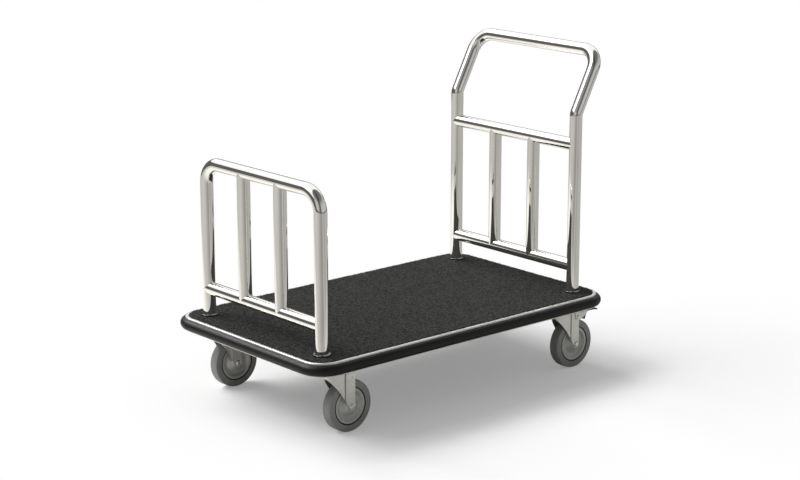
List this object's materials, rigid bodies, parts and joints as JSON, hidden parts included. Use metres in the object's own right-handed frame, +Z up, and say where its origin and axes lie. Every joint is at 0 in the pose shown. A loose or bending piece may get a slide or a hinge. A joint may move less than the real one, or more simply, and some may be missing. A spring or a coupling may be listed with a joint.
{
  "type": "luggage cart",
  "caption": "Hotel luggage cart with a carpeted deck, a low tubular hoop at one end, a tall leaning push handle at the other, a rubber bumper and swivel casters.",
  "frame": {"origin": "On the floor under the middle of the cart's outer box.", "axes": "+X runs along the deck from the low hoop to the push handle, +Y to the left of a person who looks from the hoop towards the handle, +Z up."},
  "size_m": [1.1724, 0.696, 0.978],
  "materials": {
    "polished_tube": "polished stainless tube",
    "trim": "bright section",
    "bumper_rubber": "satin black rubber",
    "carpet": "short dark grey loop pile",
    "plywood": "dark film-faced plywood",
    "frame_paint": "black paint",
    "zinc_hardware": "bright zinc",
    "pressed_zinc": "satin zinc sheet",
    "wheel_plastic": "grey moulded",
    "bush_plastic": "pale moulded",
    "tyre_rubber": "grey non-marking rubber",
    "pedal_plastic": "black moulded"
  },
  "bodies": {
    "cart": {"deck_board": "plywood", "carpet": "carpet", "edge_trim": "trim", "bumper": "bumper_rubber", "deck_channel_hoop_end": "frame_paint", "deck_channel_handle_end": "frame_paint", "deck_rails": "frame_paint", "deck_screws": "zinc_hardware", "trim_screws": "zinc_hardware", "hoop_tube": "polished_tube", "hoop_lower_rail": "polished_tube", "hoop_bar_right": "polished_tube", "hoop_bar_left": "polished_tube", "handle_post_right": "polished_tube", "handle_post_left": "polished_tube", "handle_bow": "polished_tube", "handle_lower_rail": "polished_tube", "handle_upper_rail": "polished_tube", "handle_bar_right": "polished_tube", "handle_bar_left": "polished_tube", "post_feet": "polished_tube", "post_bolts": "zinc_hardware", "post_spreader_plates": "zinc_hardware", "caster_bolts": "zinc_hardware", "caster_nuts": "zinc_hardware", "kingpins": "zinc_hardware", "swivel_rings": "zinc_hardware", "caster_plate_hoop_right": "pressed_zinc", "caster_plate_hoop_left": "pressed_zinc", "caster_plate_handle_right": "pressed_zinc", "caster_plate_handle_left": "pressed_zinc"},
    "caster_fork_hoop_right": {"fork_hoop_right": "pressed_zinc", "axle_bolt_hoop_right": "zinc_hardware", "axle_sleeve_hoop_right": "zinc_hardware"},
    "wheel_hoop_right": {"wheel_rim_hoop_right": "wheel_plastic", "tyre_hoop_right": "tyre_rubber", "wheel_bushes_hoop_right": "bush_plastic"},
    "caster_fork_hoop_left": {"fork_hoop_left": "pressed_zinc", "axle_bolt_hoop_left": "zinc_hardware", "axle_sleeve_hoop_left": "zinc_hardware"},
    "wheel_hoop_left": {"wheel_rim_hoop_left": "wheel_plastic", "tyre_hoop_left": "tyre_rubber", "wheel_bushes_hoop_left": "bush_plastic"},
    "caster_fork_handle_right": {"fork_handle_right": "pressed_zinc", "axle_bolt_handle_right": "zinc_hardware", "axle_sleeve_handle_right": "zinc_hardware", "brake_pin_handle_right": "zinc_hardware"},
    "wheel_handle_right": {"wheel_rim_handle_right": "wheel_plastic", "tyre_handle_right": "tyre_rubber", "wheel_bushes_handle_right": "bush_plastic"},
    "pedal_handle_right": {"brake_pedal_handle_right": "pedal_plastic"},
    "caster_fork_handle_left": {"fork_handle_left": "pressed_zinc", "axle_bolt_handle_left": "zinc_hardware", "axle_sleeve_handle_left": "zinc_hardware", "brake_pin_handle_left": "zinc_hardware"},
    "wheel_handle_left": {"wheel_rim_handle_left": "wheel_plastic", "tyre_handle_left": "tyre_rubber", "wheel_bushes_handle_left": "bush_plastic"},
    "pedal_handle_left": {"brake_pedal_handle_left": "pedal_plastic"}
  },
  "joints": [
    {"name": "swivel_hoop_right", "type": "hinge", "parent": "cart", "child": "caster_fork_hoop_right", "pos_m": [-0.45721, -0.263, 0.18], "axis": [0, 0, 1], "continuous": true},
    {"name": "roll_hoop_right", "type": "hinge", "parent": "caster_fork_hoop_right", "child": "wheel_hoop_right", "pos_m": [-0.41821, -0.263, 0.075], "axis": [0, 1, 0], "continuous": true},
    {"name": "swivel_hoop_left", "type": "hinge", "parent": "cart", "child": "caster_fork_hoop_left", "pos_m": [-0.45721, 0.263, 0.18], "axis": [0, 0, 1], "continuous": true},
    {"name": "roll_hoop_left", "type": "hinge", "parent": "caster_fork_hoop_left", "child": "wheel_hoop_left", "pos_m": [-0.41821, 0.263, 0.075], "axis": [0, 1, 0], "continuous": true},
    {"name": "swivel_handle_right", "type": "hinge", "parent": "cart", "child": "caster_fork_handle_right", "pos_m": [0.42779, -0.263, 0.18], "axis": [0, 0, 1], "continuous": true},
    {"name": "roll_handle_right", "type": "hinge", "parent": "caster_fork_handle_right", "child": "wheel_handle_right", "pos_m": [0.46679, -0.263, 0.075], "axis": [0, 1, 0], "continuous": true},
    {"name": "brake_handle_right", "type": "hinge", "parent": "caster_fork_handle_right", "child": "pedal_handle_right", "pos_m": [0.47179, -0.263, 0.161], "axis": [0, 1, 0], "range_deg": [0, 8]},
    {"name": "swivel_handle_left", "type": "hinge", "parent": "cart", "child": "caster_fork_handle_left", "pos_m": [0.42779, 0.263, 0.18], "axis": [0, 0, 1], "continuous": true},
    {"name": "roll_handle_left", "type": "hinge", "parent": "caster_fork_handle_left", "child": "wheel_handle_left", "pos_m": [0.46679, 0.263, 0.075], "axis": [0, 1, 0], "continuous": true},
    {"name": "brake_handle_left", "type": "hinge", "parent": "caster_fork_handle_left", "child": "pedal_handle_left", "pos_m": [0.47179, 0.263, 0.161], "axis": [0, 1, 0], "range_deg": [0, 8]}
  ]
}
